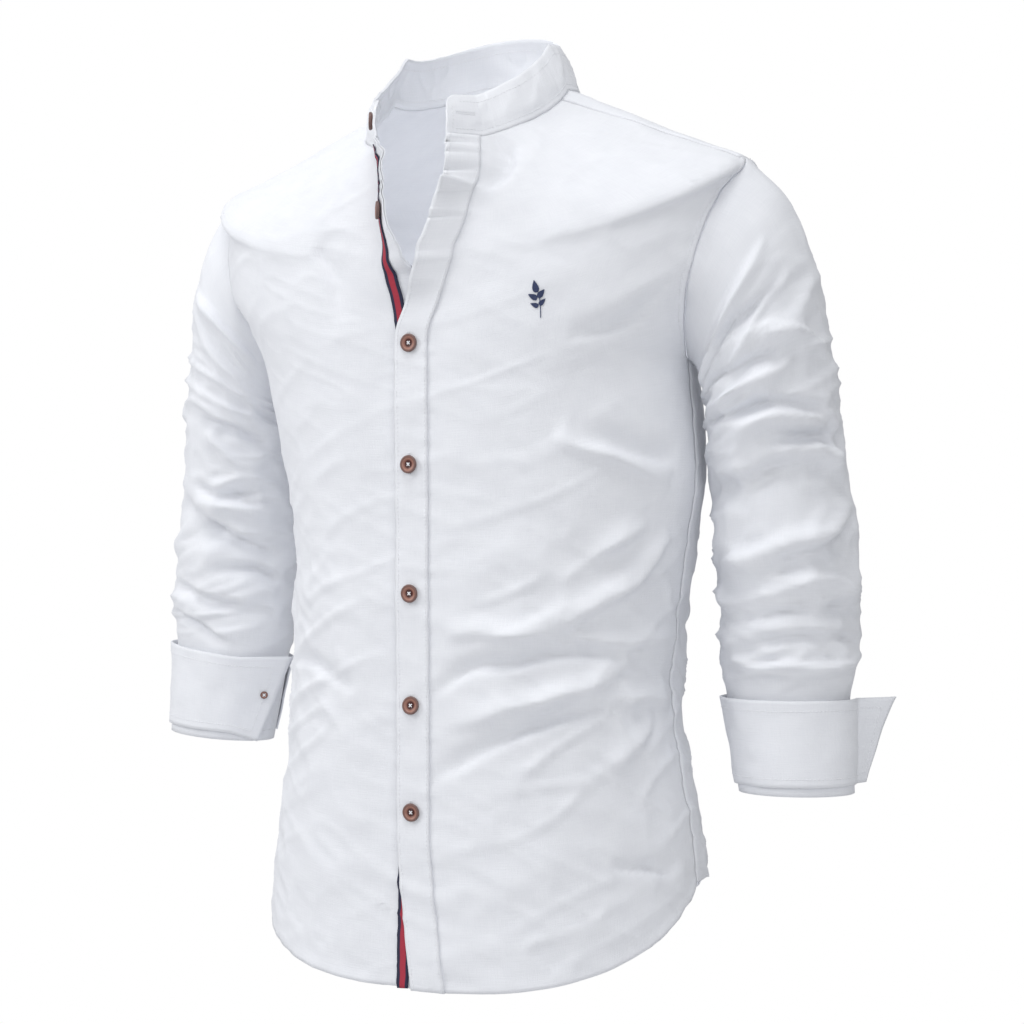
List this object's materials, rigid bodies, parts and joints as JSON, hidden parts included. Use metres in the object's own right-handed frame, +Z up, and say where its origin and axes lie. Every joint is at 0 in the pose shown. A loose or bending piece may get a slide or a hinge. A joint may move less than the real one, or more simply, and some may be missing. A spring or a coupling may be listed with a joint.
{
  "type": "mandarin collar shirt",
  "caption": "Long-sleeved woven shirt with a stand collar, open at the neck, buttoned down a front placket, with turned-back cuffs, hollow as if worn.",
  "frame": {"origin": "middle of the neck, level with the neck points of the shoulder seams, where the wearer carries it", "axes": "+Z up along the body, +X towards the wearer's left sleeve, -Y towards the buttoned front"},
  "size_m": [0.6733, 0.2602, 0.8103],
  "materials": {
    "shirt_cloth": "matte white slub weave",
    "tape_stripe": "woven red tape with navy edges",
    "button_wood": "satin brown"
  },
  "bodies": {
    "root": {"front_left": "shirt_cloth", "front_right": "shirt_cloth", "back": "shirt_cloth", "collar_band": "shirt_cloth", "placket": "shirt_cloth", "button_stand": "shirt_cloth", "sleeve_left": "shirt_cloth", "sleeve_right": "shirt_cloth", "cuff_left": "shirt_cloth", "cuff_right": "shirt_cloth", "stripe_tape": "tape_stripe", "button_1": "button_wood", "button_2": "button_wood", "button_3": "button_wood", "button_4": "button_wood", "button_5": "button_wood", "button_6": "button_wood", "button_7": "button_wood", "cuff_button_right": "button_wood"}
  },
  "joints": []
}
